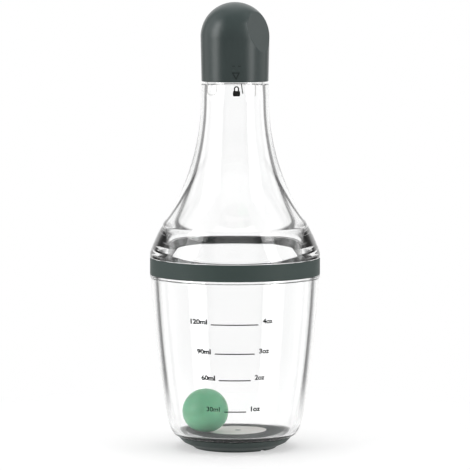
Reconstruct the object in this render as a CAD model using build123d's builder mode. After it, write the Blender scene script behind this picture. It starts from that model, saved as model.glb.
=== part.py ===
"""Salad dressing shaker: a clear cup and neck joined at a soft band, with a domed cap and a loose mixing ball.

Millimetres, +Z up. The bottle's axis is Z, the foot's underside is z = 0 and -Y is the front, with the scale.
"""

import os
from math import cos, radians, sin

from build123d import *

# Clearances, one for each kind of fit, and the overrun of every cut
running_clearance = 0.06
thread_clearance = 0.25
seat_gap = 0.15
cut_overrun = 2.0
match_tolerance = 0.001
quarter_turn = 90.0

# Widest part of the bottle, from which the cup, foot and shoulder take their widths
body_radius = 34.0

# Foot: a soft ring under the cup, with vents across its rim
foot_share = 0.4853
foot_hole_share = 0.37
foot_seat_share = 0.594
foot_toe_share = 0.503
foot_crease_share = 0.61
foot_rim_share = 0.68
foot_height = 4.0
foot_toe_height = 0.65
foot_crease_height = 2.3
foot_rim_rise = 0.8
foot_rim_edge = 0.1
foot_hole_chamfer = 0.6
vent_count = 3
vent_width = 2.4
vent_depth = 0.8
vent_angle = -48.0

# Cup: tapered wall, flat floor, a lip under the band and a finish inside the band
floor_wall = 2.6
cup_wall = 1.8
cup_ledge_height = 65.8
cup_heel_share = 0.803
cup_bend_share = 0.7325
cup_base_share = 0.674
cup_floor_share = 0.6675
cup_heel_height = 8.25
cup_side_bulge = 0.8
cup_bend_height = 2.0
cup_base_rise = 0.95
cup_lip_height = 1.2
cup_lip_overhang = 0.3
cup_lip_edge = 0.25
finish_wall = 1.5
finish_height = 6.2
finish_edge = 0.3

# Mixing ball, lying on the cup's floor at the left of the axis
ball_radius = 9.0
ball_offset_share = 0.403
ball_angle = 212.0

# Band between the cup and the neck
band_height = 6.6
band_thickness = 1.85
band_edge = 0.25

# Neck: flared shell, with a spigot below it and a pouring mouth above it
neck_height = 69.4
neck_radius = 13.5
throat_wall = 2.1
neck_land = 1.9
neck_straight_height = 5.4
bore_bend_share = 0.7985
bore_bend_height_shares = (0.0663, 0.1657)
bore_waist_share = 0.628
bore_waist_height_share = 0.34
flare_height_share = 0.229
flare_share = 0.803
spigot_depth = 6.2
spigot_wall = 1.9
mouth_height_share = 0.4
mouth_inset = 0.1
mouth_wall = 0.9
funnel_rise = 1.1
mouth_lip = 0.3

# Cap: domed shell with two thumb flats and a socket that turns on the stopper
cap_gap = 0.9
cap_height = 31.5
cap_overhang = 0.2
cap_taper = 0.37
cap_wall = 1.1
cap_base_edge = 0.3
thumb_angles = (-32.0, 148.0)
thumb_height_shares = (0.356, 0.613, 0.883)
thumb_depth_shares = (0.175, 0.307)
thumb_edge = 0.6
socket_wall = 1.6
socket_gap = 0.6
pocket_step = 3.5

# Stopper: flange over the mouth, plug in the mouth and a post that the cap turns on
flange_height = 1.6
plug_depth = 6.5
plug_gap = 0.6
plug_wall = 1.8
post_radius = 3.6
post_height_share = 0.3175
post_edge = 0.5

# Stopper ring: soft seal in the plug's groove
ring_height = 1.8
ring_drop = 2.6
ring_depth = 1.3
ring_edge = 0.4

# Heights, stacked from the foot up
floor_z = foot_height + floor_wall
ledge_z = foot_height + cup_ledge_height
lip_z = ledge_z - cup_lip_height
finish_z = ledge_z + finish_height
seat_z = ledge_z + band_height
flare_z = seat_z + flare_height_share * neck_height
bore_bend_low_z, bore_bend_high_z = (seat_z + share * neck_height for share in bore_bend_height_shares)
bore_waist_z = seat_z + bore_waist_height_share * neck_height
step_z = seat_z + neck_height
throat_z = step_z - neck_straight_height
mouth_z = step_z + mouth_height_share * cap_height
flange_z = mouth_z + flange_height
post_z = flange_z + post_height_share * cap_height
cap_base_z = step_z + cap_gap
plug_z = mouth_z - plug_depth
ring_z = mouth_z - ring_drop

# Radii that follow the widest part
foot_radius = foot_share * body_radius
foot_hole_radius = foot_hole_share * body_radius
foot_seat_radius = foot_seat_share * body_radius
foot_toe_radius = foot_toe_share * body_radius
foot_crease_radius = foot_crease_share * body_radius
foot_rim_radius = foot_rim_share * body_radius
cup_top_radius = body_radius - cup_lip_overhang
cup_heel_radius = cup_heel_share * body_radius
cup_bend_radius = cup_bend_share * body_radius
cup_base_radius = cup_base_share * body_radius
cup_floor_radius = cup_floor_share * body_radius
band_inner_radius = body_radius - band_thickness
finish_radius = band_inner_radius - running_clearance
finish_inner_radius = finish_radius - finish_wall
spigot_radius = finish_inner_radius - thread_clearance
spigot_bore_radius = spigot_radius - spigot_wall
flare_radius = flare_share * body_radius

# Radii that follow the neck
cap_radius = neck_radius + cap_overhang
cap_base_radius = cap_radius - cap_taper
cap_inner_radius = cap_base_radius - cap_wall
cap_dome_z = cap_base_z + cap_height - cap_radius
pocket_radius = cap_inner_radius - pocket_step
flange_radius = cap_inner_radius - thread_clearance
mouth_radius = flange_radius - mouth_inset
mouth_bore_radius = mouth_radius - mouth_wall
plug_radius = mouth_bore_radius - plug_gap
ring_radius = mouth_bore_radius - running_clearance
ring_inner_radius = ring_radius - ring_depth
socket_radius = post_radius + running_clearance

def turned(angle, radius):
    """Place on a circle about the axis, at an angle from +X."""
    return (radius * cos(radians(angle)), radius * sin(radians(angle)))


def rims(part, radius):
    """Circular edges of a part that have a given radius."""
    circles = part.edges().filter_by(GeomType.CIRCLE)
    return circles.filter_by(lambda edge: abs(edge.radius - radius) < match_tolerance)


def inward(point, direction, distance):
    """Point moved to the right of a direction that runs down the outline, towards the axis."""
    return point + Vector(direction.Y, -direction.X).normalized() * distance


# Foot ring
with BuildPart() as foot_ring:
    with BuildSketch(Plane.XZ):
        with BuildLine():
            Polyline(
                (foot_radius, 0),
                (foot_toe_radius, foot_toe_height),
                (foot_crease_radius, foot_crease_height),
                (foot_rim_radius, foot_height + foot_rim_rise),
                (foot_seat_radius, foot_height),
                (foot_hole_radius, foot_height),
                (foot_hole_radius, foot_hole_chamfer),
                (foot_hole_radius + foot_hole_chamfer, 0),
                (foot_radius, 0),
            )
        make_face()
    revolve(axis=Axis.Z)
    fillet(rims(foot_ring.part, foot_rim_radius), foot_rim_edge)
    with BuildSketch(Plane.XY):
        with PolarLocations(foot_radius, vent_count, start_angle=vent_angle):
            Rectangle(foot_radius, vent_width)
    extrude(amount=vent_depth, mode=Mode.SUBTRACT)
foot_ring.part.label = "foot_ring"

# Cup
heel_point = (cup_heel_radius, foot_height + cup_heel_height)
inner_heel_point = (cup_heel_radius - cup_wall, foot_height + cup_heel_height)
inner_top_point = (cup_top_radius - cup_wall, lip_z)
with BuildPart() as cup:
    with BuildSketch(Plane.XZ):
        with BuildLine():
            side = SagittaArc(heel_point, (cup_top_radius, lip_z), -cup_side_bulge)
            bend_point = (cup_bend_radius, foot_height + cup_bend_height)
            base_point = (cup_base_radius, foot_height + cup_base_rise)
            heel = TangentArc(heel_point, bend_point, tangent=(side % 0) * -1)
            corner = TangentArc(heel @ 1, base_point, tangent=heel % 1)
            inner_bend_point = inward(heel @ 1, heel % 1, cup_wall)
            Polyline(
                side @ 1,
                (body_radius, lip_z),
                (body_radius, ledge_z),
                (finish_radius, ledge_z),
                (finish_radius, finish_z),
                (0, finish_z),
                (0, foot_height),
                (foot_seat_radius, foot_height),
                corner @ 1,
            )
        make_face()
    revolve(axis=Axis.Z)
    with BuildSketch(Plane.XZ):
        with BuildLine():
            inner_side = SagittaArc(inner_heel_point, inner_top_point, -cup_side_bulge)
            inner_heel = TangentArc(inner_heel_point, inner_bend_point, tangent=(inner_side % 0) * -1)
            TangentArc(inner_heel @ 1, (cup_floor_radius, floor_z), tangent=inner_heel % 1)
            Polyline(
                inner_side @ 1,
                (finish_inner_radius, ledge_z),
                (finish_inner_radius, finish_z + cut_overrun),
                (0, finish_z + cut_overrun),
                (0, floor_z),
                (cup_floor_radius, floor_z),
            )
        make_face()
    revolve(axis=Axis.Z, mode=Mode.SUBTRACT)
    fillet(rims(cup.part, body_radius), cup_lip_edge)
    finish_edges = cup.edges().group_by(Axis.Z)[-1]
    fillet(finish_edges, finish_edge)
cup.part.label = "cup"

# Mixing ball
ball_x, ball_y = turned(ball_angle, ball_offset_share * body_radius)
with BuildPart() as mixing_ball:
    with Locations((ball_x, ball_y, floor_z + seat_gap + ball_radius)):
        Sphere(ball_radius)
mixing_ball.part.label = "mixing_ball"

# Band
with BuildPart() as seal_band:
    with BuildSketch(Plane.XY.offset(ledge_z)):
        Circle(body_radius)
        Circle(band_inner_radius, mode=Mode.SUBTRACT)
    extrude(amount=band_height)
    fillet(rims(seal_band.part, body_radius), band_edge)
seal_band.part.label = "seal_band"

# Neck
with BuildPart() as neck:
    with BuildSketch(Plane.XZ):
        with BuildLine():
            throat = TangentArc((neck_radius, throat_z), (flare_radius, flare_z), tangent=(0, -1))
            shoulder = TangentArc(throat @ 1, (body_radius, seat_z + neck_land), tangent=throat % 1)
            waist_point = (bore_waist_share * body_radius, bore_waist_z)
            bend_point = (bore_bend_share * body_radius, bore_bend_high_z)
            inner_throat_point = (neck_radius - throat_wall, throat_z)
            inner_throat = TangentArc(inner_throat_point, waist_point, tangent=(0, -1))
            TangentArc(inner_throat @ 1, bend_point, tangent=inner_throat % 1)
            bend = TangentArc((spigot_bore_radius, bore_bend_low_z), bend_point, tangent=(0, 1))
            Polyline(
                shoulder @ 1,
                (body_radius, seat_z),
                (spigot_radius, seat_z),
                (spigot_radius, seat_z - spigot_depth),
                (spigot_bore_radius, seat_z - spigot_depth),
                bend @ 0,
            )
            Polyline(
                inner_throat @ 0,
                (mouth_bore_radius, step_z + funnel_rise),
                (mouth_bore_radius, mouth_z),
                (mouth_radius, mouth_z),
                (mouth_radius, step_z),
                (neck_radius, step_z),
                throat @ 0,
            )
        make_face()
    revolve(axis=Axis.Z)
    fillet(neck.edges().group_by(Axis.Z)[-1], mouth_lip)
neck.part.label = "neck"

# Cap shell
thumb_low, thumb_middle, thumb_high = (share * cap_height for share in thumb_height_shares)
thumb_middle_depth, thumb_high_depth = (share * cap_radius for share in thumb_depth_shares)
roof_z = flange_z + seat_gap
socket_z = post_z + socket_gap
with BuildPart() as cap_shell:
    with BuildSketch(Plane.XZ):
        with BuildLine():
            dome = TangentArc((cap_radius, cap_dome_z), (0, cap_dome_z + cap_radius), tangent=(0, 1))
            Polyline(
                dome @ 1,
                (0, socket_z),
                (socket_radius, socket_z),
                (socket_radius, roof_z),
                (socket_radius + socket_wall, roof_z),
                (socket_radius + socket_wall, socket_z),
                (pocket_radius, socket_z),
                (pocket_radius, roof_z),
                (cap_inner_radius, roof_z),
                (cap_inner_radius, cap_base_z),
                (cap_base_radius, cap_base_z),
                dome @ 0,
            )
        make_face()
    revolve(axis=Axis.Z)
    for thumb_angle in thumb_angles:
        across = turned(thumb_angle - quarter_turn, 1)
        thumb_plane = Plane((0, 0, cap_base_z), x_dir=turned(thumb_angle, 1), z_dir=across)
        with BuildSketch(thumb_plane):
            with BuildLine():
                hollow = ThreePointArc(
                    (cap_radius, thumb_low),
                    (cap_radius - thumb_middle_depth, thumb_middle),
                    (cap_radius - thumb_high_depth, thumb_high),
                )
                Polyline(
                    hollow @ 1,
                    (cap_radius + cut_overrun, thumb_high),
                    (cap_radius + cut_overrun, thumb_low),
                    hollow @ 0,
                )
            make_face()
        extrude(amount=cap_radius, both=True, mode=Mode.SUBTRACT)
    hollow_edges = cap_shell.edges().filter_by(GeomType.BSPLINE)
    fillet(hollow_edges, thumb_edge)
    fillet(rims(cap_shell.part, cap_base_radius), cap_base_edge)
cap_shell.part.label = "cap_shell"

# Stopper
with BuildPart() as stopper:
    with BuildSketch(Plane.XZ):
        with BuildLine():
            Polyline(
                (0, mouth_z),
                (plug_radius - plug_wall, mouth_z),
                (plug_radius - plug_wall, plug_z),
                (plug_radius, plug_z),
                (plug_radius, ring_z - ring_height),
                (ring_inner_radius, ring_z - ring_height),
                (ring_inner_radius, ring_z),
                (plug_radius, ring_z),
                (plug_radius, mouth_z),
                (flange_radius, mouth_z),
                (flange_radius, flange_z),
                (post_radius, flange_z),
                (post_radius, post_z),
                (0, post_z),
                (0, mouth_z),
            )
        make_face()
    revolve(axis=Axis.Z)
    chamfer(stopper.edges().group_by(Axis.Z)[-1], post_edge)
stopper.part.label = "stopper"

# Stopper ring
with BuildPart() as stopper_ring:
    with BuildSketch(Plane.XY.offset(ring_z)):
        Circle(ring_radius)
        Circle(ring_inner_radius, mode=Mode.SUBTRACT)
    extrude(amount=-ring_height)
    fillet(rims(stopper_ring.part, ring_radius), ring_edge)
stopper_ring.part.label = "stopper_ring"

os.makedirs("parts", exist_ok=True)
for piece in (foot_ring, cup, mixing_ball, seal_band, neck, cap_shell, stopper, stopper_ring):
    export_step(piece.part, f"parts/{piece.part.label}.step")
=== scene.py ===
"""Looks for the salad dressing shaker: clear cup and neck, satin parts, a printed scale and soft light.

Outlines are in millimetres in the same frame as the solids: Z is the bottle's axis and -Y the front.
The marks on the front are placed by pixels of the camera's own picture, which is 470 pixels wide and high.
"""

import math
from typing import NamedTuple

import bmesh
import bpy
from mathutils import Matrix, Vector


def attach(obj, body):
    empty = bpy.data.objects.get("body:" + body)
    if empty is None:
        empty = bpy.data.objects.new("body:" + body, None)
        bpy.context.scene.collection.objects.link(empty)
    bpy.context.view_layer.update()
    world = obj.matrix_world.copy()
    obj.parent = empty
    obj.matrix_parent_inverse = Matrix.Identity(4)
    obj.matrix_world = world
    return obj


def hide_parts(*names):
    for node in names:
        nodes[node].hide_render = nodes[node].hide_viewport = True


MM = 0.001

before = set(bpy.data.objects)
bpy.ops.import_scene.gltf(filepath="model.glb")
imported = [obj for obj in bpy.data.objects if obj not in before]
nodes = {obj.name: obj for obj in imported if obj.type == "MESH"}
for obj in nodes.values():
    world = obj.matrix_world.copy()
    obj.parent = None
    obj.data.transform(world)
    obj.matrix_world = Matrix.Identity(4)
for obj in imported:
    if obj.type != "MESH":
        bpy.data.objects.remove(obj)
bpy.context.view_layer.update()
scene = bpy.context.scene
scene.view_settings.view_transform = "Standard"


# Camera, at the height and distance that the photograph's ellipses give
PICTURE_SIZE = 470.0
PICTURE_MIDDLE = PICTURE_SIZE / 2
CAMERA_BACK = 1268.4
CAMERA_HEIGHT = 198.28
CAMERA_DOWN = math.radians(5.0915)
FOCAL_PIXELS = 3185.5
SENSOR_WIDTH = 36.0
FAR_CLIP = 100.0
SURFACE_PASSES = 4

camera_data = bpy.data.cameras.new("camera")
camera_data.sensor_width = SENSOR_WIDTH
camera_data.lens = SENSOR_WIDTH * FOCAL_PIXELS / PICTURE_SIZE
camera_data.clip_end = FAR_CLIP
camera = bpy.data.objects.new("camera", camera_data)
camera.location = (0.0, -CAMERA_BACK * MM, CAMERA_HEIGHT * MM)
camera.rotation_euler = (math.pi / 2 - CAMERA_DOWN, 0.0, 0.0)
scene.collection.objects.link(camera)
scene.camera = camera


def on_surface(x, y, radius):
    """Angle in radians and height in millimetres of the point of a cylinder's front that a pixel shows."""
    depth = CAMERA_BACK - radius
    for _ in range(SURFACE_PASSES):
        across = (x - PICTURE_MIDDLE) / FOCAL_PIXELS * depth
        depth = CAMERA_BACK - math.sqrt(max(radius**2 - across**2, 0.0))
    drop = math.tan(CAMERA_DOWN + math.atan((y - PICTURE_MIDDLE) / FOCAL_PIXELS))
    return math.asin(across / radius), CAMERA_HEIGHT - depth * drop


def on_front(radius, angle, height):
    """Point in metres at a radius from the bottle's axis, an angle from the front and a height."""
    return Vector((radius * math.sin(angle), -radius * math.cos(angle), height)) * MM


# Wiring of node trees
class Tree:
    """Short names for wiring the node tree of a material or a world."""

    def __init__(self, owner):
        owner.use_nodes = True
        self.nodes = owner.node_tree.nodes
        self.links = owner.node_tree.links

    def new(self, kind, **values):
        node = self.nodes.new(kind)
        for key, value in values.items():
            setattr(node, key, value)
        return node

    def put(self, socket, value):
        """Links a value that comes out of a node, and writes any other value into the socket."""
        if isinstance(value, bpy.types.NodeSocket):
            self.links.new(value, socket)
        else:
            socket.default_value = value

    def calculate(self, operation, *values, clamp=False):
        node = self.new("ShaderNodeMath", operation=operation, use_clamp=clamp)
        for socket, value in zip(node.inputs, values):
            self.put(socket, value)
        return node.outputs["Value"]

    def mix(self, factor, a, b):
        node = self.new("ShaderNodeMix")
        for name, value in (("Factor", factor), ("A", a), ("B", b)):
            self.put(node.inputs[name], value)
        return node.outputs["Result"]

    def spread(self, value, source, target, interpolation="LINEAR"):
        """A value taken from one range to another and kept inside it."""
        node = self.new("ShaderNodeMapRange", interpolation_type=interpolation)
        node.inputs["From Min"].default_value, node.inputs["From Max"].default_value = source
        node.inputs["To Min"].default_value, node.inputs["To Max"].default_value = target
        self.put(node.inputs["Value"], value)
        return node.outputs["Result"]

    def ramp(self, value, stops, interpolation="LINEAR"):
        """Colour that a value picks from (place, colour) stops."""
        node = self.new("ShaderNodeValToRGB")
        node.color_ramp.interpolation = interpolation
        elements = node.color_ramp.elements
        while len(elements) < len(stops):
            elements.new(0.5)
        for element, (at, colour) in zip(elements, stops):
            element.position = at
            element.color = (*colour, 1.0)
        self.put(node.inputs["Fac"], value)
        return node.outputs["Color"]

    def level(self, value, stops):
        """Grey that a value picks from (place, level) stops, with soft steps between them."""
        return self.ramp(value, [(at, (grey, grey, grey)) for at, grey in stops], "EASE")


# Materials
NOISE_RANGE = (0.3, 0.7)
SATIN_IOR = 1.48
DRIFT_SCALE = 90.0
GRAIN_FINER = 1.7
GRAIN_HEIGHT = 0.00004
CLEAR_IOR = 1.52
CLEAR_TINTS = ((0.993, 0.996, 0.995), (1.0, 1.0, 1.0))
CLEAR_ROUGH = (0.0, 0.015)
CLEAR_DRIFT_SCALE = 60.0
CLEAR_GLOSS_SCALE = 140.0
CLEAR_WAVE_SCALE = 45.0
CLEAR_WAVE_STRETCH = (1.0, 1.0, 0.25)
CLEAR_WAVE_STRENGTH = 0.06
CLEAR_WAVE_HEIGHT = 0.00002


class Material(Tree):
    """One material with its principled shader, and noise that is read at each point's place in space."""

    def __init__(self, name):
        self.material = bpy.data.materials.new(name)
        super().__init__(self.material)
        self.shader = self.nodes["Principled BSDF"]
        self.place = self.new("ShaderNodeNewGeometry").outputs["Position"]

    def noise(self, scale, detail=2.0, stretch=(1.0, 1.0, 1.0)):
        mapping = self.new("ShaderNodeMapping")
        self.put(mapping.inputs["Vector"], self.place)
        self.put(mapping.inputs["Scale"], stretch)
        texture = self.new("ShaderNodeTexNoise")
        self.put(texture.inputs["Vector"], mapping.outputs["Vector"])
        self.put(texture.inputs["Scale"], scale)
        self.put(texture.inputs["Detail"], detail)
        return texture.outputs["Fac"]

    def colour(self, value, dark, light):
        low, high = NOISE_RANGE
        self.put(self.shader.inputs["Base Color"], self.ramp(value, [(low, dark), (high, light)]))

    def roughness(self, value, rough):
        self.put(self.shader.inputs["Roughness"], self.spread(value, NOISE_RANGE, rough))

    def bump(self, value, strength, distance):
        node = self.new("ShaderNodeBump")
        self.put(node.inputs["Strength"], strength)
        self.put(node.inputs["Distance"], distance)
        self.put(node.inputs["Height"], value)
        self.put(self.shader.inputs["Normal"], node.outputs["Normal"])

    def constants(self, values):
        for name, value in values.items():
            self.shader.inputs[name].default_value = value


def satin(name, dark, light, rough, grain, bump, more=None):
    """Moulded plastic or silicone: soft colour drift, fine grain in the gloss and in the surface.

    The colour drifts between dark and light, and the roughness inside its range. The grain is the
    scale of the noise, bump is its strength, and more holds values for other sockets of the shader.
    """
    look = Material(name)
    look.colour(look.noise(DRIFT_SCALE, detail=3.0), dark, light)
    look.roughness(look.noise(grain), rough)
    look.bump(look.noise(grain * GRAIN_FINER, detail=3.0), bump, GRAIN_HEIGHT)
    look.constants({"IOR": SATIN_IOR, **(more or {})})
    return look.material


def clear(name):
    """Polished clear copolyester with a slight waviness from the mould."""
    look = Material(name)
    look.colour(look.noise(CLEAR_DRIFT_SCALE), *CLEAR_TINTS)
    look.roughness(look.noise(CLEAR_GLOSS_SCALE), CLEAR_ROUGH)
    wave = look.noise(CLEAR_WAVE_SCALE, detail=1.0, stretch=CLEAR_WAVE_STRETCH)
    look.bump(wave, CLEAR_WAVE_STRENGTH, CLEAR_WAVE_HEIGHT)
    look.constants({"Transmission Weight": 1.0, "IOR": CLEAR_IOR})
    return look.material


GLOSSY_CAP = {"IOR": 1.65}
BALL_SCATTER = {"Subsurface Weight": 0.15, "Subsurface Scale": 0.003}
DULL_INK = {"Specular IOR Level": 0.1}

cap_look = satin(
    "cap_satin", (0.032, 0.05, 0.048), (0.038, 0.057, 0.055), (0.3, 0.38), 2600.0, 0.25, GLOSSY_CAP
)
band_look = satin("band_satin", (0.044, 0.068, 0.062), (0.05, 0.076, 0.069), (0.48, 0.58), 2200.0, 0.3)
foot_look = satin("foot_satin", (0.044, 0.066, 0.06), (0.05, 0.073, 0.067), (0.46, 0.56), 2200.0, 0.3)
ball_look = satin(
    "ball_satin", (0.15, 0.57, 0.295), (0.165, 0.6, 0.315), (0.26, 0.34), 1500.0, 0.2, BALL_SCATTER
)
ring_look = satin("ring_satin", (0.62, 0.65, 0.63), (0.7, 0.73, 0.7), (0.4, 0.5), 2200.0, 0.2)
print_look = satin(
    "print_ink", (0.008, 0.009, 0.009), (0.012, 0.013, 0.013), (0.8, 0.9), 3000.0, 0.1, DULL_INK
)
# Pale disc of painted light that stands in for the lit table seen through the foot's hole
painted_light_look = satin("base_painted_light", (0.86, 0.81, 0.77), (0.96, 0.93, 0.89), (0.35, 0.45), 700.0, 0.3)
shade_look = satin("floor_shade", (0.03, 0.042, 0.04), (0.06, 0.072, 0.068), (0.7, 0.8), 900.0, 0.3)
gate_look = satin("base_gate", (0.2, 0.24, 0.21), (0.26, 0.3, 0.27), (0.5, 0.6), 700.0, 0.2)
# Darker and lighter copies of the cap's satin: painted shade and a painted highlight for the moulded marks
mark_painted_shade = satin("cap_mark_painted_shade", (0.014, 0.022, 0.021), (0.018, 0.027, 0.026), (0.4, 0.5), 2600.0, 0.2)
mark_painted_highlight = satin("cap_mark_painted_highlight", (0.06, 0.085, 0.082), (0.068, 0.094, 0.09), (0.4, 0.5), 2600.0, 0.2)
# Pale and dark lines for edges in the clear neck: painted highlight and painted shade
edge_painted_highlight = satin("edge_painted_highlight", (0.6, 0.6, 0.57), (0.68, 0.68, 0.65), (0.3, 0.4), 2200.0, 0.1)
edge_painted_shade = satin("edge_painted_shade", (0.1, 0.105, 0.1), (0.13, 0.135, 0.13), (0.3, 0.4), 2200.0, 0.1)
clear_look = clear("clear_plastic")


# Pieces and meshes
SHARP_ANGLE = 40.0
CLEAR_SHARP_ANGLE = 30.0


def piece(name, mesh, material, body, sharp=SHARP_ANGLE):
    """Visible piece of one mesh and one material that rides a body."""
    mesh.materials.clear()
    mesh.materials.append(material)
    for face in mesh.polygons:
        face.use_smooth = True
    mesh.set_sharp_from_angle(angle=math.radians(sharp))
    thing = bpy.data.objects.new(name, mesh)
    scene.collection.objects.link(thing)
    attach(thing, body)
    return thing


def finished(work, name):
    """Mesh of a bmesh, with its faces turned outwards."""
    bmesh.ops.recalc_face_normals(work, faces=work.faces)
    mesh = bpy.data.meshes.new(name)
    work.to_mesh(mesh)
    work.free()
    return mesh


def tangent_arc(start, end, along, steps):
    """Points of the arc that leaves start in a direction and reaches end, and the direction it ends in.

    The start itself is not among the points.
    """
    sx, sz = start
    dx, dz = end[0] - sx, end[1] - sz
    size = math.hypot(*along)
    tx, tz = along[0] / size, along[1] / size
    nx, nz = -tz, tx
    reach = (dx * dx + dz * dz) / (2 * (dx * nx + dz * nz))
    cx, cz = sx + reach * nx, sz + reach * nz
    first = math.atan2(sz - cz, sx - cx)
    turn = math.atan2(end[1] - cz, end[0] - cx) - first
    if reach > 0:
        turn %= 2 * math.pi
    else:
        turn = -((-turn) % (2 * math.pi))
    points = []
    for i in range(1, steps + 1):
        angle = first + turn * i / steps
        points.append((cx + abs(reach) * math.cos(angle), cz + abs(reach) * math.sin(angle)))
    points[-1] = end
    last = first + turn
    sign = 1.0 if reach > 0 else -1.0
    return points, (-math.sin(last) * sign, math.cos(last) * sign)


def bowed(start, end, bulge, steps):
    """Points of the arc between two points that bows to the right of its way, and its first direction."""
    dx, dz = end[0] - start[0], end[1] - start[1]
    half = 2 * math.atan(2 * bulge / math.hypot(dx, dz))
    base = math.atan2(dz, dx)
    along = (math.cos(base - half), math.sin(base - half))
    points, _ = tangent_arc(start, end, along, steps)
    return points, along


def lathe(name, loop, turns=256):
    """Closed loop of (radius, height) points in millimetres turned about the axis."""
    mesh = bpy.data.meshes.new(name)
    rings, faces, verts = [], [], []
    for r, z in loop:
        around = turns if r else 1
        rings.append(range(len(verts), len(verts) + around))
        for j in range(around):
            angle = 2 * math.pi * j / turns
            verts.append((r * MM * math.cos(angle), r * MM * math.sin(angle), z * MM))
    for ring, other in zip(rings, rings[1:] + rings[:1]):
        if len(ring) == 1 and len(other) == 1:
            continue
        for j in range(turns):
            k = (j + 1) % turns
            if len(ring) == 1:
                faces.append((ring[0], other[k], other[j]))
            elif len(other) == 1:
                faces.append((ring[j], ring[k], other[0]))
            else:
                faces.append((ring[j], ring[k], other[k], other[j]))
    mesh.from_pydata(verts, [], faces)
    mesh.validate()
    work = bmesh.new()
    work.from_mesh(mesh)
    bpy.data.meshes.remove(mesh)
    return finished(work, name)


# Cup: a thick floor, a round heel, bowed sides, a ledge for the band and a finish for the neck
BODY_RADIUS = 34.0
CUP_WALL = 2.3
UNDERSIDE = 4.0
UNDERSIDE_RADIUS = 20.2
FLOOR = 6.6
FLOOR_RADIUS = 22.1
CORNER_BOTTOM = (22.916, 4.95)
HEEL_BOTTOM = (24.905, 6.0)
HEEL_TOP = (27.3, 12.25)
SIDE_BOW = 0.8
LEDGE_BOTTOM = 68.6
LEDGE_TOP = 69.8
SIDE_TOP = (33.7, LEDGE_BOTTOM)
INNER_SIDE_TOP = (30.9, LEDGE_BOTTOM)
FINISH_RADIUS = 32.09
FINISH_BORE = 30.59
FINISH_TOP = 76.0
FINISH_EDGE = 0.3

# Round edges of the ledge, as how far each point stands in from the side and from the level face
LEDGE_LOW_EDGE = ((0.18, 0.0), (0.05, 0.07), (0.0, 0.2))
LEDGE_HIGH_EDGE = ((0.0, 0.25), (0.07, 0.07), (0.25, 0.0))

side, side_start = bowed(HEEL_TOP, SIDE_TOP, SIDE_BOW, steps=48)
side_down = (-side_start[0], -side_start[1])
heel, heel_end = tangent_arc(HEEL_TOP, HEEL_BOTTOM, side_down, steps=18)
corner, _ = tangent_arc(HEEL_BOTTOM, CORNER_BOTTOM, heel_end, steps=10)
inner_heel_top = (HEEL_TOP[0] - CUP_WALL, HEEL_TOP[1])
inner_heel_bottom = (HEEL_BOTTOM[0] + heel_end[1] * CUP_WALL, HEEL_BOTTOM[1] - heel_end[0] * CUP_WALL)
inner_side, inner_start = bowed(inner_heel_top, INNER_SIDE_TOP, SIDE_BOW, steps=48)
inner_down = (-inner_start[0], -inner_start[1])
inner_heel, inner_end = tangent_arc(inner_heel_top, inner_heel_bottom, inner_down, steps=18)
inner_corner, _ = tangent_arc(inner_heel_bottom, (FLOOR_RADIUS, FLOOR), inner_end, steps=8)
cup_loop = [
    (0.0, UNDERSIDE),
    (UNDERSIDE_RADIUS, UNDERSIDE),
    *reversed(corner),
    *reversed(heel),
    HEEL_TOP,
    *side,
    *((BODY_RADIUS - inset, LEDGE_BOTTOM + rise) for inset, rise in LEDGE_LOW_EDGE),
    *((BODY_RADIUS - inset, LEDGE_TOP - drop) for inset, drop in LEDGE_HIGH_EDGE),
    (FINISH_RADIUS, LEDGE_TOP),
    (FINISH_RADIUS, FINISH_TOP - FINISH_EDGE),
    (FINISH_RADIUS - FINISH_EDGE, FINISH_TOP),
    (FINISH_BORE + FINISH_EDGE, FINISH_TOP),
    (FINISH_BORE, FINISH_TOP - FINISH_EDGE),
    (FINISH_BORE, LEDGE_TOP),
    *reversed(inner_side),
    inner_heel_top,
    *inner_heel,
    *inner_corner,
    (0.0, FLOOR),
]
cup_mesh = lathe("cup_clear", cup_loop)
cup = piece("cup_clear", cup_mesh, clear_look, "base", CLEAR_SHARP_ANGLE)
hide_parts("cup")


# Skins on the cup's floor: painted shade above the foot and a pale disc of painted light in the middle,
# where the lit table shows through the foot's hole, with the small mark of the gate
SKIN_SINK = 0.02
SKIN_EDGE = 0.1
PAINTED_LIGHT_RADIUS = 12.7
PAINTED_LIGHT_RISE = 0.03
PAINTED_LIGHT_EDGE_RISE = 0.015
SHADE_RADIUS = 19.9
SHADE_RISE = 0.01
GATE_RADIUS = 1.3
GATE_EDGE = 0.2
GATE_RISE = 0.08
GATE_EDGE_RISE = 0.06
GATE_PLACE = (1.2, -1.0)
GATE_TURNS = 32

painted_light_loop = [
    (0.0, FLOOR - SKIN_SINK),
    (PAINTED_LIGHT_RADIUS, FLOOR - SKIN_SINK),
    (PAINTED_LIGHT_RADIUS - SKIN_EDGE, FLOOR + PAINTED_LIGHT_EDGE_RISE),
    (0.0, FLOOR + PAINTED_LIGHT_RISE),
]
shade_loop = [
    (PAINTED_LIGHT_RADIUS, FLOOR - SKIN_SINK),
    (SHADE_RADIUS, FLOOR - SKIN_SINK),
    (SHADE_RADIUS - SKIN_EDGE, FLOOR + SHADE_RISE),
    (PAINTED_LIGHT_RADIUS + SKIN_EDGE, FLOOR + SHADE_RISE),
]
gate_loop = [
    (0.0, FLOOR),
    (GATE_RADIUS, FLOOR),
    (GATE_RADIUS - GATE_EDGE, FLOOR + GATE_EDGE_RISE),
    (0.0, FLOOR + GATE_RISE),
]
# Painted light in the middle of the cup's floor and painted shade in a ring above the foot
piece("cup_painted_light", lathe("cup_painted_light", painted_light_loop), painted_light_look, "base")
piece("cup_floor_shade", lathe("cup_floor_shade", shade_loop), shade_look, "base")
gate = lathe("cup_gate", gate_loop, GATE_TURNS)
for v in gate.vertices:
    v.co.x += GATE_PLACE[0] * MM
    v.co.y += GATE_PLACE[1] * MM
piece("cup_gate", gate, gate_look, "base")


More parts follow.
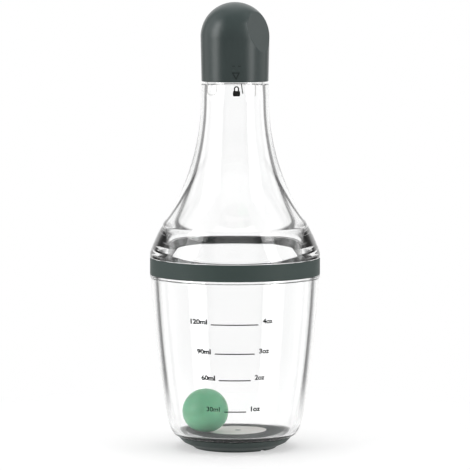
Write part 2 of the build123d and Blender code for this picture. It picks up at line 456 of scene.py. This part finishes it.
# Neck: a spigot, a thick shoulder, a flare, a step under the cap and a thin mouth
NECK_RADIUS = 13.5
FLARE_TOP = 140.4
FLARE_END = (27.3, 92.29)
SHOULDER_LOW = (BODY_RADIUS, 78.3)
SHOULDER_BOTTOM = 76.4
SPIGOT_RADIUS = 30.34
SPIGOT_BORE = 28.44
SPIGOT_BOTTOM = 70.2
BEVEL = 0.2
INNER_SHOULDER_LOW = (SPIGOT_BORE, 81.0)
INNER_SHOULDER_HIGH = (27.15, 87.9)
INNER_WAIST = (14.0, 116.0)
INNER_TOP = (11.4, FLARE_TOP)
STEP = 145.8
STEP_BEVEL = 0.3
MOUTH_RADIUS = 11.88
MOUTH_BORE = 10.98
MOUTH_BORE_BOTTOM = 146.9
MOUTH_TOP = 158.4
RIM_INSET = 0.22
RIM_DROP = 0.3
UP = (0.0, 1.0)
DOWN = (0.0, -1.0)

flare, flare_end = tangent_arc((NECK_RADIUS, FLARE_TOP), FLARE_END, DOWN, steps=56)
shoulder, _ = tangent_arc(FLARE_END, SHOULDER_LOW, flare_end, steps=20)
inner_throat, inner_throat_end = tangent_arc(INNER_TOP, INNER_WAIST, DOWN, steps=24)
inner_flare, _ = tangent_arc(INNER_WAIST, INNER_SHOULDER_HIGH, inner_throat_end, steps=32)
inner_shoulder, _ = tangent_arc(INNER_SHOULDER_LOW, INNER_SHOULDER_HIGH, UP, steps=24)
neck_loop = [
    (NECK_RADIUS, STEP - STEP_BEVEL),
    (NECK_RADIUS, FLARE_TOP),
    *flare,
    *shoulder,
    (BODY_RADIUS, SHOULDER_BOTTOM + BEVEL),
    (BODY_RADIUS - BEVEL, SHOULDER_BOTTOM),
    (SPIGOT_RADIUS, SHOULDER_BOTTOM),
    (SPIGOT_RADIUS, SPIGOT_BOTTOM + BEVEL),
    (SPIGOT_RADIUS - BEVEL, SPIGOT_BOTTOM),
    (SPIGOT_BORE + BEVEL, SPIGOT_BOTTOM),
    (SPIGOT_BORE, SPIGOT_BOTTOM + BEVEL),
    INNER_SHOULDER_LOW,
    *inner_shoulder,
    *reversed(inner_flare[:-1]),
    *reversed(inner_throat),
    INNER_TOP,
    (MOUTH_BORE, MOUTH_BORE_BOTTOM),
    (MOUTH_BORE, MOUTH_TOP - RIM_DROP),
    (MOUTH_BORE + RIM_INSET, MOUTH_TOP),
    (MOUTH_RADIUS - RIM_INSET, MOUTH_TOP),
    (MOUTH_RADIUS, MOUTH_TOP - RIM_DROP),
    (MOUTH_RADIUS, STEP),
    (NECK_RADIUS - STEP_BEVEL, STEP),
]
neck_mesh = lathe("neck_clear", neck_loop)
neck = piece("neck_clear", neck_mesh, clear_look, "neck", CLEAR_SHARP_ANGLE)
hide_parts("neck")


# Solids that are dressed as they are
for node, look in (
    ("foot_ring", foot_look),
    ("mixing_ball", ball_look),
    ("seal_band", band_look),
    ("cap_shell", cap_look),
    ("stopper", cap_look),
    ("stopper_ring", ring_look),
):
    nodes[node].data.materials.clear()
    nodes[node].data.materials.append(look)


# Printed scale: a thin film of ink on the cup's front
INK_LIFT = 0.015
INK_HALF = 0.012
INK_LOW = INK_LIFT - INK_HALF
INK_HIGH = INK_LIFT + INK_HALF
LINE_THICK = 0.44
LINE_STEPS = 40
DIGIT_HEIGHT = 0.729
LETTER_STEPS = 4
OUNCES_WEIGHT = 0.035
CUP_GUESS = 32.0


class ScaleMark(NamedTuple):
    """One line of the scale with a label at each end: columns and rows are pixels of the picture."""

    volume: str
    volume_columns: tuple
    label_rows: tuple
    line_columns: tuple
    line_row: float
    ounces: str
    ounces_columns: tuple
    volume_weight: float


SCALE_MARKS = (
    ScaleMark("120", (190.2, 206.8), (318.6, 323.4), (210.6, 258.5), 325.3, "4", (263.0, 273.0), 0.045),
    ScaleMark("90", (196.8, 210.6), (348.6, 353.4), (214.6, 254.7), 354.4, "3", (259.3, 269.4), 0.045),
    ScaleMark("60", (201.0, 214.9), (375.0, 379.8), (218.5, 250.8), 380.9, "2", (255.0, 264.8), 0.045),
    ScaleMark("30", (206.3, 219.5), (406.4, 411.2), (224.0, 246.2), 412.2, "1", (251.0, 260.4), 0.015),
)


def cup_radius(z):
    """Outer radius of the cup's side at a height."""
    for (r0, z0), (r1, z1) in zip(side, side[1:]):
        if z0 <= z <= z1:
            return r0 + (r1 - r0) * (z - z0) / (z1 - z0)
    return side[0][0]


def mesh_of(name, curve):
    """Mesh of a curve or a text."""
    holder = bpy.data.objects.new(name, curve)
    scene.collection.objects.link(holder)
    bpy.context.view_layer.update()
    mesh = bpy.data.meshes.new_from_object(holder.evaluated_get(bpy.context.evaluated_depsgraph_get()))
    bpy.data.objects.remove(holder)
    return mesh


def words(name, text, columns, rows, weight):
    """Label that fills a box in pixels on the cup's front, its digits standing on the box's lower edge.

    The weight makes the strokes bolder.
    """
    curve = bpy.data.curves.new(name, "FONT")
    curve.body = text
    curve.extrude = INK_HALF
    curve.offset = weight
    curve.resolution_u = LETTER_STEPS
    mesh = mesh_of(name, curve)
    (x0, x1), (y0, y1) = columns, rows
    radius = cup_radius(on_surface((x0 + x1) / 2, (y0 + y1) / 2, CUP_GUESS)[1])
    first, base = on_surface(x0, y1, radius)
    last, _ = on_surface(x1, y1, radius)
    _, top = on_surface(x0, y0, radius)
    low, high = min(v.co.x for v in mesh.vertices), max(v.co.x for v in mesh.vertices)
    for v in mesh.vertices:
        angle = first + (v.co.x - low) / (high - low) * (last - first)
        height = base + v.co.y / DIGIT_HEIGHT * (top - base)
        v.co = on_front(cup_radius(height) + INK_LIFT + v.co.z, angle, height)
    mesh.update()
    return mesh


def strip(name, columns, row):
    """Line of the scale, level on the cup's front between two columns of pixels."""
    radius = cup_radius(on_surface(PICTURE_MIDDLE, row, CUP_GUESS)[1])
    _, height = on_surface(PICTURE_MIDDLE, row, radius)
    first, last = (on_surface(x, row, radius)[0] for x in columns)
    low, high = height - LINE_THICK / 2, height + LINE_THICK / 2
    corners = ((low, INK_LOW), (high, INK_LOW), (high, INK_HIGH), (low, INK_HIGH))
    work = bmesh.new()
    rings = []
    for i in range(LINE_STEPS + 1):
        angle = first + (last - first) * i / LINE_STEPS
        rings.append([work.verts.new(on_front(cup_radius(z) + lift, angle, z)) for z, lift in corners])
    for a, b in zip(rings, rings[1:]):
        for k in range(4):
            work.faces.new((a[k], a[(k + 1) % 4], b[(k + 1) % 4], b[k]))
    work.faces.new(rings[0])
    work.faces.new(rings[-1][::-1])
    return finished(work, name)


for mark in SCALE_MARKS:
    line_name = "scale_line_" + mark.volume
    ml_name = "scale_ml_" + mark.volume
    oz_name = "scale_oz_" + mark.volume
    line = strip(line_name, mark.line_columns, mark.line_row)
    ml = words(ml_name, mark.volume + "ml", mark.volume_columns, mark.label_rows, mark.volume_weight)
    oz = words(oz_name, mark.ounces + "oz", mark.ounces_columns, mark.label_rows, OUNCES_WEIGHT)
    for name, mesh in ((line_name, line), (ml_name, ml), (oz_name, oz)):
        piece(name, mesh, print_look, "base")


# Marks on the neck and the cap, drawn in pixels of the picture
CAP_SIDE_LOW = (13.33, 146.7)
CAP_SIDE_HIGH = (13.7, 164.5)
FRONT_GUESS = 13.6
PLATE_HALF = 0.5


def neck_front(z):
    """Outer radius of the neck's top, the same at each height there."""
    return NECK_RADIUS


def cap_front(z):
    """Outer radius of the cap's slightly tapered side at a height."""
    (r0, z0), (r1, z1) = CAP_SIDE_LOW, CAP_SIDE_HIGH
    return r0 + (r1 - r0) * (z - z0) / (z1 - z0)


def relief(name, outline, holes, radius_at, low, high):
    """Flat shape in pixels, with holes, set on the front of a round wall as a plate between two lifts."""
    curve = bpy.data.curves.new(name, "CURVE")
    curve.dimensions = "2D"
    curve.fill_mode = "BOTH"
    curve.extrude = PLATE_HALF
    for loop in (outline, *holes):
        spline = curve.splines.new("POLY")
        spline.points.add(len(loop) - 1)
        for point, (x, y) in zip(spline.points, loop):
            point.co = (x, -y, 0.0, 1.0)
        spline.use_cyclic_u = True
    mesh = mesh_of(name, curve)
    for v in mesh.vertices:
        x, y = v.co.x, -v.co.y
        angle, height = on_surface(x, y, radius_at(on_surface(x, y, FRONT_GUESS)[1]))
        v.co = on_front(radius_at(height) + (high if v.co.z > 0 else low), angle, height)
    mesh.update()
    return mesh


def arc_points(cx, cy, rx, ry, a0, a1, steps):
    """Points of an elliptic arc in pixels, angles in degrees counted from +x towards the picture's top."""
    points = []
    for i in range(steps + 1):
        angle = math.radians(a0 + (a1 - a0) * i / steps)
        points.append((cx + rx * math.cos(angle), cy - ry * math.sin(angle)))
    return points


def channel(name, path, half, low, high):
    """Thin raised line along a path in pixels on the neck's front."""
    left, right = [], []
    for i, (x, y) in enumerate(path):
        x0, y0 = path[max(i - 1, 0)]
        x1, y1 = path[min(i + 1, len(path) - 1)]
        size = math.hypot(x1 - x0, y1 - y0)
        nx, ny = -(y1 - y0) / size * half, (x1 - x0) / size * half
        left.append((x + nx, y + ny))
        right.append((x - nx, y - ny))
    return relief(name, left + right[::-1], [], neck_front, low, high)


# Padlock printed on the neck
LOCK_LEFT, LOCK_RIGHT = 234.0, 239.0
LOCK_TOP, LOCK_BOTTOM = 92.1, 95.3
LOCK_CORNER = 1.1
ARCH_X, ARCH_Y = 236.5, 89.0
ARCH_OUTER_X, ARCH_OUTER_Y = 2.7, 2.8
ARCH_INNER_X, ARCH_INNER_Y = 1.4, 1.6
ARCH_FOOT = 91.0

lock_body = []
for quarter, (x, y) in enumerate(
    ((LOCK_RIGHT, LOCK_TOP), (LOCK_LEFT, LOCK_TOP), (LOCK_LEFT, LOCK_BOTTOM), (LOCK_RIGHT, LOCK_BOTTOM))
):
    lock_body += arc_points(x, y, LOCK_CORNER, LOCK_CORNER, 90 * quarter, 90 * (quarter + 1), steps=5)
lock_arch = [
    (ARCH_X - ARCH_OUTER_X, ARCH_FOOT),
    *arc_points(ARCH_X, ARCH_Y, ARCH_OUTER_X, ARCH_OUTER_Y, 180, 0, steps=16),
    (ARCH_X + ARCH_OUTER_X, ARCH_FOOT),
    (ARCH_X + ARCH_INNER_X, ARCH_FOOT),
    *arc_points(ARCH_X, ARCH_Y, ARCH_INNER_X, ARCH_INNER_Y, 0, 180, steps=12),
    (ARCH_X - ARCH_INNER_X, ARCH_FOOT),
]
for name, outline in (("padlock_body", lock_body), ("padlock_shackle", lock_arch)):
    mesh = relief(name, outline, [], neck_front, INK_LOW, INK_HIGH)
    piece(name, mesh, print_look, "neck")


# Arrow and two bars moulded on the cap, with painted shade in the arrow and the upper bar and a painted
# highlight on the lower bar
MARK_DEPTH = -0.1
ARROW = [(231.6, 72.4), (240.0, 72.4), (236.1, 80.4)]
ARROW_HOLE = [(233.6, 73.7), (238.1, 73.7), (236.0, 78.0)]
ARROW_LIFT = 0.09
BAR_LEFT, BAR_RIGHT = 232.4, 240.6
BAR_LIFT = 0.08
LOW_BAR_ROW, LOW_BAR_HALF = 70.3, 0.45
HIGH_BAR_ROW, HIGH_BAR_HALF = 66.2, 0.35

arrow_mesh = relief("cap_arrow", ARROW, [ARROW_HOLE], cap_front, MARK_DEPTH, ARROW_LIFT)
piece("cap_arrow", arrow_mesh, mark_painted_shade, "cap")
for name, row, half, look in (
    ("cap_bar_low", LOW_BAR_ROW, LOW_BAR_HALF, mark_painted_highlight),
    ("cap_bar_high", HIGH_BAR_ROW, HIGH_BAR_HALF, mark_painted_shade),
):
    top, bottom = row - half, row + half
    bar = [(BAR_LEFT, top), (BAR_RIGHT, top), (BAR_RIGHT, bottom), (BAR_LEFT, bottom)]
    piece(name, relief(name, bar, [], cap_front, MARK_DEPTH, BAR_LIFT), look, "cap")


# Edges of the lock's lugs, seen under the cap on the neck: pale lines of painted highlight, and a dark line
# of painted shade at the stop
EDGE_DEPTH = -0.05
EDGE_LIFT = 0.04
EDGE_HALF = 0.26
STOP_LIFT = 0.06
STOP_HALF = 0.5
RIGHT_LUG = [
    (248.9, 83.5),
    (248.9, 92.0),
    *arc_points(252.2, 92.0, 3.3, 4.0, 180, 270, steps=6),
    (255.4, 96.0),
    (255.6, 83.5),
]
LEFT_LUG = [
    (207.6, 84.0),
    (207.4, 91.0),
    *arc_points(211.0, 91.0, 3.6, 4.2, 180, 270, steps=6),
    (213.0, 95.0),
    *arc_points(213.0, 91.0, 3.6, 4.0, 270, 360, steps=6),
    (216.8, 84.0),
]
LUG_STOP = [(241.3, 83.2), (242.0, 88.5), (242.8, 93.6)]

for name, path in (("lug_edge_right", RIGHT_LUG), ("lug_edge_left", LEFT_LUG)):
    edge = channel(name, path, EDGE_HALF, EDGE_DEPTH, EDGE_LIFT)
    piece(name, edge, edge_painted_highlight, "neck")
stop = channel("lug_stop", LUG_STOP, STOP_HALF, EDGE_DEPTH, STOP_LIFT)
piece("lug_stop", stop, edge_painted_shade, "neck")


# Surroundings: soft panels all round, darker in front
PANEL_STOPS = ((0.0, 1.08), (0.66, 1.08), (0.84, 0.35), (0.95, 0.2))
RISE_STOPS = ((0.1, 1.0), (0.13, 0.14), (0.18, 0.14), (0.23, 1.0))
FRONT_RANGE = (-0.3, 0.6)
FRONT_LEVEL = 0.32
DIFFUSE_LEVEL = 0.4
FLOOR_HALF = 30.0
FLOOR_DROP = 0.00005
PAPER = (0.62, 0.62, 0.62, 1.0)
PAPER_GLOW = 0.45
SHADOW_RANGE = (0.045, 0.17)
WHITE = (1.0, 1.0, 1.0, 1.0)


def bright_panels(tree, direction):
    """Brightness of soft panels all round the object, with a dark gap in the middle of each quarter."""
    split = tree.new("ShaderNodeSeparateXYZ")
    tree.put(split.inputs["Vector"], direction)
    azimuth = tree.calculate("ARCTAN2", split.outputs["Y"], split.outputs["X"])
    eighths = tree.calculate("MULTIPLY", azimuth, 4.0 / math.pi)
    return tree.level(tree.calculate("PINGPONG", eighths, 1.0), PANEL_STOPS)


def reflected(tree, paths):
    """One for a glossy ray that was reflected or scattered, and zero for one that came straight through."""
    bounces = tree.calculate("ADD", paths["Glossy Depth"], paths["Diffuse Depth"], clamp=True)
    return tree.calculate("MULTIPLY", bounces, paths["Is Glossy Ray"])


def dim_front(tree, direction, strength, paths):
    """Strength of the surroundings with the side in front of the object darker in reflections."""
    unit = tree.new("ShaderNodeVectorMath", operation="NORMALIZE")
    tree.put(unit.inputs[0], direction)
    split = tree.new("ShaderNodeSeparateXYZ")
    tree.put(split.inputs["Vector"], unit.outputs["Vector"])
    front = tree.spread(split.outputs["Y"], FRONT_RANGE, (FRONT_LEVEL, 1.0), "SMOOTHSTEP")
    return tree.calculate("MULTIPLY", strength, tree.mix(reflected(tree, paths), 1.0, front))


def emission(tree, strength):
    """White light of a strength."""
    node = tree.new("ShaderNodeEmission")
    tree.put(node.inputs["Strength"], strength)
    return node.outputs["Emission"]


def blend(tree, factor, first, second):
    """One shader mixed into another."""
    node = tree.new("ShaderNodeMixShader")
    for socket, value in zip(node.inputs, (factor, first, second)):
        tree.put(socket, value)
    return node.outputs["Shader"]


def floor_material():
    """Paper that keeps the object's soft shadow close by and fades to the white surroundings."""
    material = bpy.data.materials.new("floor_paper")
    tree = Tree(material)
    tree.nodes.clear()
    place = tree.new("ShaderNodeNewGeometry").outputs["Position"]
    paths = tree.new("ShaderNodeLightPath").outputs
    length = tree.new("ShaderNodeVectorMath", operation="LENGTH")
    tree.put(length.inputs[0], place)
    far = tree.spread(length.outputs["Value"], SHADOW_RANGE, (0.0, 1.0), "SMOOTHSTEP")
    paper = tree.new("ShaderNodeBsdfDiffuse")
    tree.put(paper.inputs["Color"], PAPER)
    indirect = tree.calculate("SUBTRACT", 1.0, paths["Is Camera Ray"])
    panels = tree.mix(indirect, 1.0, bright_panels(tree, place))
    white = emission(tree, dim_front(tree, place, panels, paths))
    lit = tree.new("ShaderNodeAddShader")
    tree.put(lit.inputs[0], paper.outputs["BSDF"])
    tree.put(lit.inputs[1], emission(tree, PAPER_GLOW))
    mirrored = tree.calculate("ADD", paths["Is Camera Ray"], paths["Is Glossy Ray"])
    seen = tree.calculate("ADD", mirrored, paths["Is Transmission Ray"], clamp=True)
    near = blend(tree, far, lit.outputs["Shader"], white)
    out = tree.new("ShaderNodeOutputMaterial")
    tree.put(out.inputs["Surface"], blend(tree, seen, paper.outputs["BSDF"], near))
    return material


def studio_world():
    """White to the camera, soft panels to clear and glossy things and a plain level to all others.

    Through clear walls it is darker a little above the horizon.
    """
    world = bpy.data.worlds.new("studio")
    tree = Tree(world)
    tree.nodes.clear()
    heading = tree.new("ShaderNodeTexCoord").outputs["Generated"]
    paths = tree.new("ShaderNodeLightPath").outputs
    soft = tree.calculate("ADD", paths["Is Glossy Ray"], paths["Is Transmission Ray"], clamp=True)
    indirect = tree.mix(soft, DIFFUSE_LEVEL, bright_panels(tree, heading))
    level = tree.mix(paths["Is Camera Ray"], indirect, 1.0)
    rise = tree.new("ShaderNodeSeparateXYZ")
    tree.put(rise.inputs["Vector"], heading)
    clear_path = tree.calculate("LESS_THAN", paths["Diffuse Depth"], 0.5)
    through = tree.calculate("MULTIPLY", clear_path, paths["Is Transmission Ray"])
    upward = tree.mix(through, 1.0, tree.level(rise.outputs["Z"], RISE_STOPS))
    shaded = tree.calculate("MULTIPLY", level, upward)
    sky = tree.new("ShaderNodeBackground")
    tree.put(sky.inputs["Color"], WHITE)
    tree.put(sky.inputs["Strength"], dim_front(tree, heading, shaded, paths))
    out = tree.new("ShaderNodeOutputWorld")
    tree.put(out.inputs["Surface"], sky.outputs["Background"])
    return world


floor_mesh = bpy.data.meshes.new("floor")
floor_work = bmesh.new()
bmesh.ops.create_grid(floor_work, x_segments=1, y_segments=1, size=FLOOR_HALF)
floor_work.to_mesh(floor_mesh)
floor_work.free()
floor_mesh.materials.append(floor_material())
floor = bpy.data.objects.new("floor", floor_mesh)
floor.location = (0.0, 0.0, -FLOOR_DROP)
scene.collection.objects.link(floor)
scene.world = studio_world()


# Lamps: name, place and size in metres, watts, and the rays that don't see the lamp
LAMP_TARGET = (0.0, 0.0, 0.09)
LAMPS = (
    ("left_softbox", (-1.13, -0.41, 0.35), (0.5, 1.6), 8.0, "visible_diffuse"),
    ("left_fill", (-1.15, -0.65, 0.5), (0.8, 1.2), 6.5, "visible_glossy"),
    ("right_softbox", (1.0, -0.66, 0.35), (0.36, 1.6), 7.0, "visible_diffuse"),
    ("right_fill", (1.15, -0.65, 0.5), (0.8, 1.2), 5.5, "visible_glossy"),
    ("top_softbox", (0.0, 0.1, 1.3), (0.9, 0.9), 8.0, "visible_glossy"),
)

for name, place, size, power, unseen in LAMPS:
    data = bpy.data.lights.new(name, "AREA")
    data.shape = "RECTANGLE"
    data.size, data.size_y = size
    data.energy = power
    lamp = bpy.data.objects.new(name, data)
    lamp.location = place
    lamp.rotation_euler = (Vector(LAMP_TARGET) - Vector(place)).to_track_quat("-Z", "Y").to_euler()
    setattr(lamp, unseen, False)
    scene.collection.objects.link(lamp)
